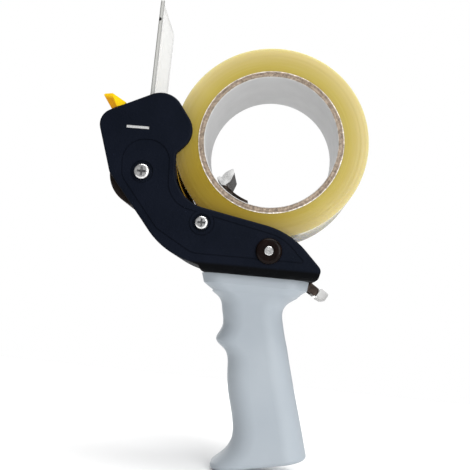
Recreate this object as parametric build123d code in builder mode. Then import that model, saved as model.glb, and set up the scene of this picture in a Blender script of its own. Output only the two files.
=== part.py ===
from build123d import *
import math
import os

os.makedirs("parts", exist_ok=True)

# Hand-held packing-tape dispenser with a pistol grip, loaded with one roll of tape.
# +X runs from the cutting head to the thumb lever, +Y across the width towards the lever side,
# and +Z up along the grip. The origin is the middle of the grip. Sizes are in millimetres.

# ---- Driving dimensions ----

# Tape roll: a 3 inch core and 48 mm wide tape, part used
CORE_BORE_R = 38.1
CORE_WALL = 3.6
TAPE_R = 55.5
TAPE_WIDTH = 48.0
ROLL_X = -3.3
ROLL_Z = 131.7
ROLL_SIDE_GAP = 2.0

# Plastic shells: two plates with a rim, mirrored about Y = 0
SHELL_HALF = 30.25
PLATE = 3.0
RIM = 2.5
BASE_Z = 54.35
BASE_WALL = 5.0
EDGE_ROUND = 1.2
GROOVE_WIDTH = 0.7
ROD_HOLE_PLAY, ROD_HOLE_DEPTH = 0.05, 1.5
GROOVE_DEPTH = 0.4

# Cross shafts and fasteners
SHAFT_R = 2.5
SHAFT_HOLE_R = 2.55
AXLE_X, AXLE_Z = -74.3, 106.9
BOLT_X, BOLT_Z = -37.6, 80.9
PIVOT_X, PIVOT_Z = 1.2, 68.4
SCREW_SEAT_R = 6.5
BOLT_SEAT_R = 5.2
SEAT_DEPTH = 1.0
SHAFT_OVER = 1.0
AXLE_HEAD_R, AXLE_HEAD = 4.5, 2.6
BOLT_HEAD_R, BOLT_HEAD = 3.8, 2.2
SPACER_R = 4.5
NUT_FLATS = 8.0
NUT_HEIGHT = 2.7
NUT_POCKET = 2.0
CAP_R = 7.3
CAP_HEIGHT = 2.3

# Tape roller
ROLLER_R = 19.4
RUBBER = 6.0
ROLLER_HALF = 26.0
HUB_WALL = 2.0
WEB = 3.0
WEB_INSET = 2.0
BUSH_R = 5.0
BUSH_LENGTH = 8.0

# Blade, its steel carrier and its slide-on guard
SLOT_X, SLOT_Z = -79.55, 132.5
SLOT_LENGTH = 13.3
SLOT_HEIGHT = 1.8
TAB_PLAY = 0.3
TAB_RECESS = 0.4
SHEET = 1.5
LEG_X = -88.4
LEG_LENGTH = 12.0
LEG_LEAN = 26.7
BLADE = 0.8
BLADE_HALF = 25.0
BLADE_FOOT = 4.5
BLADE_REACH = 20.5
TOOTH_PITCH = 2.5
TOOTH_HEIGHT = 2.2
GUARD_SLOT = 1.4
GUARD_HALF = 26.9
GUARD_END = 1.5
RIVET_YS = [-18.0, 0.0, 18.0]
RIVET_UP = 8.5
RIVET_R = 1.6
RIVET_HEAD_R, RIVET_HEAD = 2.8, 1.0

# Smoothing flap and its rod
ROD_X, ROD_Z = -72.6, 145.0
ROD_R = 1.5
FLAP_TOP = 212.0
FLAP_SHEET = 1.2
FLAP_RIB, FLAP_RIB_WIDTH = 2.2, 1.2
KNUCKLE_R = 3.0
FLAP_SPRING_R, FLAP_WIRE = 2.5, 0.45

# Brake lever: a pressed steel arm beside the roll, a shoe inside the core, and a thumb tail
ARM_SHEET = 2.5
ARM_Y = 23.75
SHOE_OUTER_R = 36.4
SHOE_SHEET = 2.0
SHOE_FROM, SHOE_TO = 214.0, 252.0
SHOE_NEAR_Y = -10.25
ARM_BOSS_R = 8.0
BARREL_R = 5.0
BARREL_NEAR_Y = -24.0
TAIL_HALF = 9.0
TAIL_DEPTH = 5.0
TAIL_SLOPE = 33.2
TAIL_REACH = 36.2
THUMB_HALF = 11.0
SLOT_HALF = 11.5
LEVER_SPRING_R, LEVER_WIRE = 6.0, 0.7
LEVER_SPRING_Y = -20.0

# Grip: height, front x, back x and half width of each section, from the collar to the butt
GRIP_WALL = 3.0
GRIP_CORNER = 0.4  # corner radius as a share of the section's shorter side
COLLAR_CORNER = 0.3
COLLAR_FOOT = 43.0
COLLAR_SECTIONS = [
    (BASE_Z, -36.6, 25.9, 22.0),
    (49.0, -34.9, 25.3, 21.6),
    (45.0, -29.1, 20.0, 19.2),
]
GRIP_SECTIONS = [
    (45.0, -29.1, 20.0, 19.2),
    (41.0, -25.4, 15.0, 17.4),
    (36.0, -23.4, 12.3, 16.2),
    (30.0, -22.2, 12.9, 15.6),
    (24.0, -22.4, 14.3, 15.6),
    (18.5, -24.9, 15.8, 15.8),
    (12.5, -20.6, 17.4, 15.8),
    (0.0, -16.7, 20.6, 16.0),
    (-20.0, -13.0, 26.1, 16.4),
    (-38.0, -10.6, 31.0, 17.0),
    (-45.0, -13.6, 32.9, 17.6),
    (-51.0, -19.7, 34.7, 18.2),
    (-57.0, -23.4, 36.4, 18.6),
]
# The butt and the end of the cavity are planes that rise by BUTT_RISE per millimetre of X
BUTT_Z = -51.7
BUTT_RISE = 0.2
BUTT_WALL = 3.4
GRIP_SCREWS = [(-12.0, 38.0), (2.0, 22.0), (10.0, -30.0)]
SCREW_R = 2.0
SCREW_HEAD_R = 3.8
SCREW_HEAD = 2.2
SCREW_SEAT_Y = 13.0
SCREW_TIP_Y = -10.0
SCREW_SPARE = 0.5
TANG_HALF = 8.0
TANG_FRONT, TANG_BACK, TANG_FOOT = -17.0, 7.5, 14.0
POST_R = 4.6
POST_REACH = 14.0
DRIVE_REACH, DRIVE_DEPTH = 4.4, 1.3

# ---- Derived sizes ----
INNER = SHELL_HALF - PLATE
ROLL_Y0 = -INNER + ROLL_SIDE_GAP
ROLL_Y1 = ROLL_Y0 + TAPE_WIDTH
CORE_R = CORE_BORE_R + CORE_WALL
SHOE_R = SHOE_OUTER_R - SHOE_SHEET
SHOE_MIDDLE = (SHOE_FROM + SHOE_TO) / 2
ARM_TOP_R = SHOE_R - 2.3
HUB_R = ROLLER_R - RUBBER

# Side outline of the shells: x, z and corner radius, clockwise from the head's front corner
SHELL_OUTLINE = [
    (-104.0, 138.3, 9.0),
    (-63.3, 157.7, 14.0),
    (-44.5, 131.6, 13.0),
    (-56.2, 119.2, 1.5),
    (-54.4, 92.8, 22.0),
    (12.1, 80.2, 44.0),
    (30.9, 60.8, 4.0),
    (29.2, BASE_Z, 2.5),
    (-35.6, BASE_Z, 1.5),
    (-36.8, 57.2, 2.0),
    (-58.5, 63.5, 46.0),
    (-70.6, 78.4, 1.4),
    (-93.0, 105.4, 3.0),
]

# Inner line moulded into the plates, in the same form
GROOVE_OUTLINE = [
    (-87.9, 126.0, 13.0),
    (-59.6, 126.0, 13.0),
    (-57.9, 90.6, 16.0),
    (8.5, 76.9, 25.0),
    (22.3, 63.2, 1.2),
    (-41.5, 63.2, 12.0),
    (-63.0, 75.4, 10.0),
    (-85.8, 103.2, 10.0),
]
BOSS_R = 6.6


def side(y):
    """Plane across the width at y, with local x along X and local y along Z, facing -Y."""
    return Plane.XZ.offset(-y)


def outline_face(corners):
    """Sketch inside a closed outline of (x, z, radius) corners."""
    points = [(x, z) for x, z, radius in corners]
    with BuildSketch() as face:
        with BuildLine():
            FilletPolyline(*points, radius=[radius for x, z, radius in corners], close=True)
        make_face()
    return face.sketch


def tube(x, z, outer, inner, y0, y1):
    """Ring or tube along Y between y0 and y1."""
    with BuildSketch(side(y1)) as ring:
        with Locations((x, z)):
            Circle(outer)
            if inner > 0:
                Circle(inner, mode=Mode.SUBTRACT)
    extrude(ring.sketch, amount=y1 - y0)


def cut_round(x, z, radius, y0, y1):
    """Round hole along Y between y0 and y1."""
    with BuildSketch(side(y1)) as hole:
        with Locations((x, z)):
            Circle(radius)
    extrude(hole.sketch, amount=y1 - y0, mode=Mode.SUBTRACT)


def cross_recess(x, z, y, reach, depth):
    """Phillips recess in a head whose face is at y; depth is negative if the face looks along +Y."""
    with BuildSketch(side(y)) as cross:
        with Locations((x, z)):
            Rectangle(reach, reach / 4)
            Rectangle(reach / 4, reach)
    extrude(cross.sketch, amount=-depth, mode=Mode.SUBTRACT)


def coil(x, z, radius, wire, y0, turns):
    """Close-wound coil about Y: rings that just bite into each other."""
    pitch = 1.8 * wire
    for turn in range(turns):
        with BuildSketch(Plane.XY.offset(z)) as section:
            with Locations((x + radius, y0 + turn * pitch)):
                Circle(wire)
        revolve(section.sketch, axis=Axis((x, 0, z), (0, 1, 0)))


# ---- Shells ----

with BuildPart() as shell_blank:
    with BuildSketch(side(-INNER)):
        add(outline_face(SHELL_OUTLINE))
    extrude(amount=PLATE)
    outer_edges = shell_blank.faces().sort_by(Axis.Y)[0].edges()
    fillet(outer_edges, radius=EDGE_ROUND)

    # Rim wall along the base, the belly and the heel, where the roll leaves room for it
    with BuildSketch(side(0)):
        add(outline_face(SHELL_OUTLINE))
        offset(amount=-RIM, kind=Kind.INTERSECTION, mode=Mode.SUBTRACT)
        with BuildLine():
            Polyline((-70.4, 50), (-70.4, 77.5), (-12, 77.5), (19, 70), (40, 70), (40, 50), close=True)
        make_face(mode=Mode.INTERSECT)
    extrude(amount=INNER)

    # Thick base that sits on the grip
    with BuildSketch(side(0)):
        with BuildLine():
            Polyline(
                (-34.5, BASE_Z), (27.0, BASE_Z), (27.5, BASE_Z + BASE_WALL),
                (-34.5, BASE_Z + BASE_WALL), close=True,
            )
        make_face()
    extrude(amount=INNER)

    # The lower edge of the plate turns in towards the grip
    with BuildSketch(Plane.YZ):
        with BuildLine():
            ThreePointArc((-SHELL_HALF, 60), (-SHELL_HALF + 1.3, 56.6), (-SHELL_HALF + 4.2, BASE_Z))
            Polyline(
                (-SHELL_HALF + 4.2, BASE_Z), (-SHELL_HALF + 4.2, 50), (-SHELL_HALF - 1, 50),
                (-SHELL_HALF - 1, 60), (-SHELL_HALF, 60),
            )
        make_face()
    extrude(amount=60, both=True, mode=Mode.SUBTRACT)

    # Tang that the grip halves clamp
    with BuildSketch(side(0)):
        with BuildLine():
            Polyline(
                (TANG_FRONT, TANG_FOOT), (TANG_BACK, TANG_FOOT), (TANG_BACK, BASE_Z + 1),
                (TANG_FRONT, BASE_Z + 1), close=True,
            )
        make_face()
    extrude(amount=TANG_HALF)

    # Line moulded into the outside, led round the boss of the body bolt
    with BuildSketch(side(-SHELL_HALF)):
        add(outline_face(GROOVE_OUTLINE))
        with Locations((BOLT_X, BOLT_Z)):
            Circle(BOSS_R, mode=Mode.SUBTRACT)
        offset(amount=-GROOVE_WIDTH, mode=Mode.SUBTRACT)
    extrude(amount=-GROOVE_DEPTH, mode=Mode.SUBTRACT)

    # Holes for the shafts, a blind hole for the flap rod, and the slot for the carrier's tab
    for x, z in [(AXLE_X, AXLE_Z), (BOLT_X, BOLT_Z), (PIVOT_X, PIVOT_Z)]:
        cut_round(x, z, SHAFT_HOLE_R, -SHELL_HALF, -INNER)
    cut_round(ROD_X, ROD_Z, ROD_R + ROD_HOLE_PLAY, -INNER - ROD_HOLE_DEPTH, -INNER)
    with BuildSketch(side(-INNER)):
        with Locations((SLOT_X, SLOT_Z)):
            Rectangle(SLOT_LENGTH, SLOT_HEIGHT)
    extrude(amount=PLATE, mode=Mode.SUBTRACT)

    # Opening in the base and heel for the lever's tail
    with BuildSketch(side(0)):
        with BuildLine():
            Polyline((5.5, 50), (34, 50), (34, 66), (20, 66), (5.5, 62), close=True)
        make_face()
    extrude(amount=SLOT_HALF, mode=Mode.SUBTRACT)

    # Screw holes through the tang
    for x, z in GRIP_SCREWS[:2]:
        cut_round(x, z, SCREW_R + 0.1, -TANG_HALF, 0)

with BuildPart() as near_shell:
    add(shell_blank.part)
    cut_round(AXLE_X, AXLE_Z, SCREW_SEAT_R, -SHELL_HALF, -SHELL_HALF + SEAT_DEPTH)
    cut_round(BOLT_X, BOLT_Z, BOLT_SEAT_R, -SHELL_HALF, -SHELL_HALF + SEAT_DEPTH)
near_shell.part.label = "near_shell"
export_step(near_shell.part, "parts/near_shell.step")

with BuildPart() as far_shell:
    add(shell_blank.part)
    mirror(about=Plane.XZ, mode=Mode.REPLACE)
    with BuildSketch(side(SHELL_HALF)):
        with Locations((AXLE_X, AXLE_Z), (BOLT_X, BOLT_Z)):
            RegularPolygon(NUT_FLATS / 2 + 0.15, 6, major_radius=False)
    extrude(amount=NUT_POCKET, mode=Mode.SUBTRACT)
far_shell.part.label = "far_shell"
export_step(far_shell.part, "parts/far_shell.step")

# ---- Grip ----


def grip_section(z, front, back, half, inset):
    """Rounded section of the grip at height z, drawn in by inset. The collar's corners are squarer."""
    length = back - front - 2 * inset
    width = 2 * (half - inset)
    corner = COLLAR_CORNER if z > COLLAR_FOOT else GRIP_CORNER
    with BuildSketch(Plane.XY.offset(z)) as section:
        with Locations(((front + back) / 2, 0)):
            RectangleRounded(length, width, corner * min(length, width))
    return section.sketch


def butt_cutter(z):
    """Block below a plane that crosses X = 0 at z and rises by BUTT_RISE."""
    reach = 60
    with BuildPart() as cutter:
        with BuildSketch(side(40)):
            with BuildLine():
                Polyline(
                    (-reach, z - reach * BUTT_RISE), (reach, z + reach * BUTT_RISE), (reach, z - 40),
                    (-reach, z - 40), close=True,
                )
            make_face()
        extrude(amount=80)
    return cutter.part


with BuildPart() as grip_blank:
    loft([grip_section(*row, 0) for row in COLLAR_SECTIONS], ruled=True)
    loft([grip_section(*row, 0) for row in GRIP_SECTIONS])
    add(butt_cutter(BUTT_Z), mode=Mode.SUBTRACT)
    butt = grip_blank.faces().sort_by(Axis.Z)[0]
    fillet(butt.edges(), radius=2.0)

with BuildPart() as grip_cavity:
    loft([grip_section(*row, GRIP_WALL) for row in COLLAR_SECTIONS], ruled=True)
    loft([grip_section(*row, GRIP_WALL) for row in GRIP_SECTIONS])
    add(butt_cutter(BUTT_Z + BUTT_WALL), mode=Mode.SUBTRACT)

with BuildPart() as tail_notch:
    with BuildSketch(side(SLOT_HALF)):
        with BuildLine():
            Polyline((7.5, 60), (7.5, 58.4), (24.5, 43.5), (36, 33.5), (36, 60), close=True)
        make_face()
    extrude(amount=2 * SLOT_HALF)

with BuildPart() as grip_half_near:
    add(grip_blank.part)
    add(grip_cavity.part, mode=Mode.SUBTRACT)
    split(bisect_by=Plane.XZ, keep=Keep.TOP)
    for x, z in GRIP_SCREWS:
        post_end = -TANG_HALF if z > TANG_FOOT else 0.0
        tube(x, z, POST_R, 0, -POST_REACH, post_end)
        cut_round(x, z, SCREW_R, SCREW_TIP_Y - SCREW_SPARE, post_end)
    add(tail_notch.part, mode=Mode.SUBTRACT)
grip_half_near.part.label = "grip_half_near"
export_step(grip_half_near.part, "parts/grip_half_near.step")

with BuildPart() as grip_half_far:
    add(grip_blank.part)
    add(grip_cavity.part, mode=Mode.SUBTRACT)
    split(bisect_by=Plane.XZ, keep=Keep.BOTTOM)
    for x, z in GRIP_SCREWS:
        post_end = TANG_HALF if z > TANG_FOOT else 0.0
        tube(x, z, POST_R, 0, post_end, POST_REACH)
        cut_round(x, z, SCREW_R + 0.1, post_end, SCREW_SEAT_Y)
        cut_round(x, z, SCREW_HEAD_R + 0.2, SCREW_SEAT_Y, SHELL_HALF)
    add(tail_notch.part, mode=Mode.SUBTRACT)
grip_half_far.part.label = "grip_half_far"
export_step(grip_half_far.part, "parts/grip_half_far.step")

with BuildPart() as grip_screws:
    for x, z in GRIP_SCREWS:
        tube(x, z, SCREW_HEAD_R, 0, SCREW_SEAT_Y, SCREW_SEAT_Y + SCREW_HEAD)
        tube(x, z, SCREW_R, 0, SCREW_TIP_Y, SCREW_SEAT_Y)
        cross_recess(x, z, SCREW_SEAT_Y + SCREW_HEAD, DRIVE_REACH, -DRIVE_DEPTH)
grip_screws.part.label = "grip_screws"
export_step(grip_screws.part, "parts/grip_screws.step")

# ---- Cross shafts, bolts and caps ----

with BuildPart() as roller_axle:
    head_y = -SHELL_HALF + SEAT_DEPTH - AXLE_HEAD
    tube(AXLE_X, AXLE_Z, AXLE_HEAD_R, 0, head_y, -SHELL_HALF + SEAT_DEPTH)
    fillet(roller_axle.faces().sort_by(Axis.Y)[0].edges(), radius=1.5)
    tube(AXLE_X, AXLE_Z, SHAFT_R, 0, -SHELL_HALF + SEAT_DEPTH, SHELL_HALF + SHAFT_OVER)
    cross_recess(AXLE_X, AXLE_Z, head_y, DRIVE_REACH + 0.6, DRIVE_DEPTH)
roller_axle.part.label = "roller_axle"
export_step(roller_axle.part, "parts/roller_axle.step")

with BuildPart() as body_bolt:
    head_y = -SHELL_HALF + SEAT_DEPTH - BOLT_HEAD
    tube(BOLT_X, BOLT_Z, BOLT_HEAD_R, 0, head_y, -SHELL_HALF + SEAT_DEPTH)
    fillet(body_bolt.faces().sort_by(Axis.Y)[0].edges(), radius=1.3)
    tube(BOLT_X, BOLT_Z, SHAFT_R, 0, -SHELL_HALF + SEAT_DEPTH, SHELL_HALF + SHAFT_OVER)
    cross_recess(BOLT_X, BOLT_Z, head_y, DRIVE_REACH, DRIVE_DEPTH)
body_bolt.part.label = "body_bolt"
export_step(body_bolt.part, "parts/body_bolt.step")

with BuildPart() as shaft_nuts:
    with BuildSketch(side(SHELL_HALF - NUT_POCKET + NUT_HEIGHT)):
        with Locations((AXLE_X, AXLE_Z), (BOLT_X, BOLT_Z)):
            RegularPolygon(NUT_FLATS / 2, 6, major_radius=False)
            Circle(SHAFT_R, mode=Mode.SUBTRACT)
    extrude(amount=NUT_HEIGHT)
shaft_nuts.part.label = "shaft_nuts"
export_step(shaft_nuts.part, "parts/shaft_nuts.step")

with BuildPart() as body_spacer:
    tube(BOLT_X, BOLT_Z, SPACER_R, SHAFT_HOLE_R, -INNER, INNER)
body_spacer.part.label = "body_spacer"
export_step(body_spacer.part, "parts/body_spacer.step")

with BuildPart() as pivot_pin:
    pin_end = SHELL_HALF + CAP_HEIGHT + 0.4
    tube(PIVOT_X, PIVOT_Z, SHAFT_R, 0, -pin_end, pin_end)
    chamfer(pivot_pin.edges().filter_by(GeomType.CIRCLE), length=0.4)
pivot_pin.part.label = "pivot_pin"
export_step(pivot_pin.part, "parts/pivot_pin.step")

with BuildPart() as pivot_cap_near:
    tube(PIVOT_X, PIVOT_Z, CAP_R, 0, -SHELL_HALF - CAP_HEIGHT, -SHELL_HALF)
    fillet(pivot_cap_near.faces().sort_by(Axis.Y)[0].edges(), radius=2.0)
    cut_round(PIVOT_X, PIVOT_Z, SHAFT_R, -SHELL_HALF - CAP_HEIGHT, -SHELL_HALF)
pivot_cap_near.part.label = "pivot_cap_near"
export_step(pivot_cap_near.part, "parts/pivot_cap_near.step")

with BuildPart() as pivot_cap_far:
    add(pivot_cap_near.part)
    mirror(about=Plane.XZ, mode=Mode.REPLACE)
pivot_cap_far.part.label = "pivot_cap_far"
export_step(pivot_cap_far.part, "parts/pivot_cap_far.step")

# ---- Tape roller ----

with BuildPart() as roller_sleeve:
    tube(AXLE_X, AXLE_Z, ROLLER_R, HUB_R, -ROLLER_HALF, ROLLER_HALF)
    chamfer(roller_sleeve.faces().sort_by(Axis.Y)[0].outer_wire().edges(), length=0.6)
    chamfer(roller_sleeve.faces().sort_by(Axis.Y)[-1].outer_wire().edges(), length=0.6)
roller_sleeve.part.label = "roller_sleeve"
export_step(roller_sleeve.part, "parts/roller_sleeve.step")

with BuildPart() as roller_hub:
    web_y = ROLLER_HALF - WEB_INSET
    tube(AXLE_X, AXLE_Z, HUB_R, HUB_R - HUB_WALL, -ROLLER_HALF, ROLLER_HALF)
    tube(AXLE_X, AXLE_Z, HUB_R - HUB_WALL, BUSH_R, -web_y, -web_y + WEB)
    tube(AXLE_X, AXLE_Z, HUB_R - HUB_WALL, BUSH_R, web_y - WEB, web_y)
    tube(AXLE_X, AXLE_Z, BUSH_R + HUB_WALL, BUSH_R, -web_y, web_y)
roller_hub.part.label = "roller_hub"
export_step(roller_hub.part, "parts/roller_hub.step")

with BuildPart() as roller_bushes:
    tube(AXLE_X, AXLE_Z, BUSH_R, SHAFT_HOLE_R, -ROLLER_HALF, -ROLLER_HALF + BUSH_LENGTH)
    tube(AXLE_X, AXLE_Z, BUSH_R, SHAFT_HOLE_R, ROLLER_HALF - BUSH_LENGTH, ROLLER_HALF)
roller_bushes.part.label = "roller_bushes"
export_step(roller_bushes.part, "parts/roller_bushes.step")

# ---- Blade and guard ----

lean = math.radians(LEG_LEAN)
LEG_UP = (-math.sin(lean), math.cos(lean))
LEG_OUT = (-math.cos(lean), -math.sin(lean))
BEND_SETBACK = SHEET / 2 * math.tan(math.radians((90 - LEG_LEAN) / 2))


def along_leg(up, out):
    """Side-view point at a distance up the carrier's leg and out towards its front face."""
    x = LEG_X + up * LEG_UP[0] + out * LEG_OUT[0]
    z = SLOT_Z + up * LEG_UP[1] + out * LEG_OUT[1]
    return (x, z)


blade_x, blade_z = along_leg(0, SHEET / 2)
blade_plane = Plane(
    origin=(blade_x, 0, blade_z), x_dir=(0, 1, 0), z_dir=(-LEG_OUT[0], 0, -LEG_OUT[1])
)

with BuildPart() as blade_carrier:
    tab_length = SLOT_LENGTH - TAB_PLAY
    back_x = SLOT_X + tab_length / 2
    with BuildSketch(side(INNER - TAB_PLAY)):
        with BuildLine():
            Polyline(
                (back_x, SLOT_Z - SHEET / 2), (back_x, SLOT_Z + SHEET / 2),
                along_leg(BEND_SETBACK, -SHEET / 2), along_leg(LEG_LENGTH, -SHEET / 2),
                along_leg(LEG_LENGTH, SHEET / 2), along_leg(-BEND_SETBACK, SHEET / 2), close=True,
            )
        make_face()
    extrude(amount=2 * (INNER - TAB_PLAY))
    with BuildSketch(side(SHELL_HALF - TAB_RECESS)):
        with Locations((SLOT_X, SLOT_Z)):
            Rectangle(tab_length, SHEET)
    extrude(amount=2 * (SHELL_HALF - TAB_RECESS))
    with BuildSketch(blade_plane):
        with Locations(*[(y, RIVET_UP) for y in RIVET_YS]):
            Circle(RIVET_R)
    extrude(amount=5, both=True, mode=Mode.SUBTRACT)
blade_carrier.part.label = "blade_carrier"
export_step(blade_carrier.part, "parts/blade_carrier.step")

with BuildPart() as blade:
    with BuildSketch(blade_plane):
        with BuildLine():
            teeth = int(2 * BLADE_HALF / TOOTH_PITCH)
            root = BLADE_REACH - TOOTH_HEIGHT
            edge = [(BLADE_HALF, BLADE_FOOT), (BLADE_HALF, root)]
            for tooth in range(teeth):
                crest = BLADE_HALF - (tooth + 0.5) * TOOTH_PITCH
                edge += [(crest, BLADE_REACH), (crest - TOOTH_PITCH / 2, root)]
            edge += [(-BLADE_HALF, BLADE_FOOT)]
            Polyline(*edge, close=True)
        make_face()
        with Locations(*[(y, RIVET_UP) for y in RIVET_YS]):
            Circle(RIVET_R, mode=Mode.SUBTRACT)
    extrude(amount=-BLADE)
blade.part.label = "blade"
export_step(blade.part, "parts/blade.step")

with BuildPart() as blade_rivets:
    rivet_heads = [(-BLADE - RIVET_HEAD, -BLADE), (SHEET, SHEET + RIVET_HEAD)]
    with BuildSketch(blade_plane.offset(-BLADE)):
        with Locations(*[(y, RIVET_UP) for y in RIVET_YS]):
            Circle(RIVET_R)
    extrude(amount=BLADE + SHEET)
    for start, end in rivet_heads:
        with BuildSketch(blade_plane.offset(start)):
            with Locations(*[(y, RIVET_UP) for y in RIVET_YS]):
                Circle(RIVET_HEAD_R)
        extrude(amount=end - start)
blade_rivets.part.label = "blade_rivets"
export_step(blade_rivets.part, "parts/blade_rivets.step")

with BuildPart() as blade_guard:
    # Roof-shaped block along the blade, open below
    blade_middle = SHEET / 2 + BLADE / 2
    with BuildSketch(side(GUARD_HALF)):
        with BuildLine():
            Polyline(
                along_leg(13.2, 2.7), along_leg(22.6, 4.1), along_leg(23.0, 3.2), along_leg(21.6, -1.0),
                along_leg(13.6, -6.3), along_leg(12.8, -5.0), along_leg(13.2, -1.0), close=True,
            )
        make_face()
    extrude(amount=2 * GUARD_HALF)
    # Slot that takes the blade, and a hollow behind it; both are closed at the ends
    with BuildSketch(side(GUARD_HALF - GUARD_END)):
        with BuildLine():
            Polyline(
                along_leg(12.0, blade_middle - GUARD_SLOT / 2), along_leg(21.0, blade_middle - GUARD_SLOT / 2),
                along_leg(21.0, blade_middle + GUARD_SLOT / 2), along_leg(12.0, blade_middle + GUARD_SLOT / 2),
                close=True,
            )
        make_face()
        with BuildLine():
            Polyline(along_leg(12.0, -0.7), along_leg(19.4, -0.7), along_leg(12.0, -5.6), close=True)
        make_face()
    extrude(amount=2 * (GUARD_HALF - GUARD_END), mode=Mode.SUBTRACT)
blade_guard.part.label = "blade_guard"
export_step(blade_guard.part, "parts/blade_guard.step")

# ---- Smoothing flap ----

with BuildPart() as flap_rod:
    rod_end = INNER + ROD_HOLE_DEPTH - 0.1
    tube(ROD_X, ROD_Z, ROD_R, 0, -rod_end, rod_end)
flap_rod.part.label = "flap_rod"
export_step(flap_rod.part, "parts/flap_rod.step")

with BuildPart() as flap_spring:
    coil(ROD_X, ROD_Z, FLAP_SPRING_R, FLAP_WIRE, ROLL_Y1 + 1.0, 4)
flap_spring.part.label = "flap_spring"
export_step(flap_spring.part, "parts/flap_spring.step")

with BuildPart() as smoothing_flap:
    tube(ROD_X, ROD_Z, KNUCKLE_R, 0, ROLL_Y0, ROLL_Y1)
    front = ROD_X - KNUCKLE_R
    flap_middle = ((ROLL_Y0 + ROLL_Y1) / 2, (ROD_Z + FLAP_TOP) / 2)
    with BuildSketch(Plane.YZ.offset(front)):
        with Locations(flap_middle):
            Rectangle(TAPE_WIDTH, FLAP_TOP - ROD_Z)
    extrude(amount=FLAP_SHEET)
    with BuildSketch(Plane.YZ.offset(front)):
        with Locations((ROLL_Y0 + FLAP_RIB_WIDTH / 2, flap_middle[1])):
            Rectangle(FLAP_RIB_WIDTH, FLAP_TOP - ROD_Z)
    extrude(amount=FLAP_RIB)
    cut_round(ROD_X, ROD_Z, ROD_R + ROD_HOLE_PLAY, ROLL_Y0, ROLL_Y1)
smoothing_flap.part.label = "smoothing_flap"
export_step(smoothing_flap.part, "parts/smoothing_flap.step")

# ---- Brake lever ----


def around_roll(radius, angle):
    """Side-view point at a radius and angle about the roll's centre."""
    a = math.radians(angle)
    return (ROLL_X + radius * math.cos(a), ROLL_Z + radius * math.sin(a))


def along_tail(reach, rise):
    """Side-view point at a distance along the tail from the pivot, and above its centre line."""
    a = math.radians(-TAIL_SLOPE)
    x = PIVOT_X + reach * math.cos(a) - rise * math.sin(a)
    z = PIVOT_Z + reach * math.sin(a) + rise * math.cos(a)
    return (x, z)


with BuildPart() as lever_arm:
    with BuildSketch(side(ARM_Y + ARM_SHEET)):
        with BuildLine():
            ThreePointArc(
                around_roll(ARM_TOP_R, SHOE_FROM), around_roll(ARM_TOP_R, SHOE_MIDDLE),
                around_roll(ARM_TOP_R, SHOE_TO),
            )
            Polyline(
                around_roll(ARM_TOP_R, SHOE_TO), around_roll(SHOE_OUTER_R, SHOE_TO), (6.5, 77.0),
                (8.5, 66.0), (-5.5, 63.5), (-9.0, 74.0), (-30.5, 104.0),
                around_roll(SHOE_OUTER_R, SHOE_FROM), around_roll(ARM_TOP_R, SHOE_FROM),
            )
        make_face()
        with Locations((PIVOT_X, PIVOT_Z)):
            Circle(ARM_BOSS_R)
            Circle(SHAFT_HOLE_R, mode=Mode.SUBTRACT)
    extrude(amount=ARM_SHEET)
lever_arm.part.label = "lever_arm"
export_step(lever_arm.part, "parts/lever_arm.step")

with BuildPart() as lever_shoe:
    with BuildSketch(side(ARM_Y)):
        with BuildLine():
            ThreePointArc(
                around_roll(SHOE_OUTER_R, SHOE_FROM), around_roll(SHOE_OUTER_R, SHOE_MIDDLE),
                around_roll(SHOE_OUTER_R, SHOE_TO),
            )
            Line(around_roll(SHOE_OUTER_R, SHOE_TO), around_roll(SHOE_R, SHOE_TO))
            ThreePointArc(
                around_roll(SHOE_R, SHOE_TO), around_roll(SHOE_R, SHOE_MIDDLE),
                around_roll(SHOE_R, SHOE_FROM),
            )
            Line(around_roll(SHOE_R, SHOE_FROM), around_roll(SHOE_OUTER_R, SHOE_FROM))
        make_face()
    extrude(amount=ARM_Y - SHOE_NEAR_Y)
    # Lip curled in at the shoe's upper end, which keeps the roll from walking off
    with BuildSketch(side(ARM_Y)):
        add(outline_face([
            (-31.2, 108.6, 1.4), (-31.4, 111.0, 1.4), (-28.6, 115.0, 6.0), (-24.2, 117.6, 0.8),
            (-23.3, 115.0, 1.6), (-25.2, 109.8, 4.0), (-28.0, 107.4, 1.6),
        ]))
    extrude(amount=ARM_Y - SHOE_NEAR_Y)
lever_shoe.part.label = "lever_shoe"
export_step(lever_shoe.part, "parts/lever_shoe.step")

with BuildPart() as lever_barrel:
    tube(PIVOT_X, PIVOT_Z, BARREL_R, SHAFT_HOLE_R, BARREL_NEAR_Y, ARM_Y)
lever_barrel.part.label = "lever_barrel"
export_step(lever_barrel.part, "parts/lever_barrel.step")

with BuildPart() as lever_tail:
    with BuildSketch(side(TAIL_HALF)):
        with BuildLine():
            Polyline(
                along_tail(0, -TAIL_DEPTH / 2), along_tail(TAIL_REACH - 1.0, -TAIL_DEPTH / 2),
                along_tail(TAIL_REACH, 0), along_tail(TAIL_REACH - 1.0, TAIL_DEPTH / 2),
                along_tail(0, TAIL_DEPTH / 2), close=True,
            )
        make_face()
    extrude(amount=2 * TAIL_HALF)
    with BuildSketch(side(TAIL_HALF - SHEET)):
        with BuildLine():
            Polyline(
                along_tail(0, -TAIL_DEPTH / 2), along_tail(TAIL_REACH - 3.0, -TAIL_DEPTH / 2),
                along_tail(TAIL_REACH - 3.0, TAIL_DEPTH / 2 - SHEET), along_tail(0, TAIL_DEPTH / 2 - SHEET),
                close=True,
            )
        make_face()
    extrude(amount=2 * (TAIL_HALF - SHEET), mode=Mode.SUBTRACT)
    cut_round(PIVOT_X, PIVOT_Z, BARREL_R, -TAIL_HALF, TAIL_HALF)
lever_tail.part.label = "lever_tail"
export_step(lever_tail.part, "parts/lever_tail.step")

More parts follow.
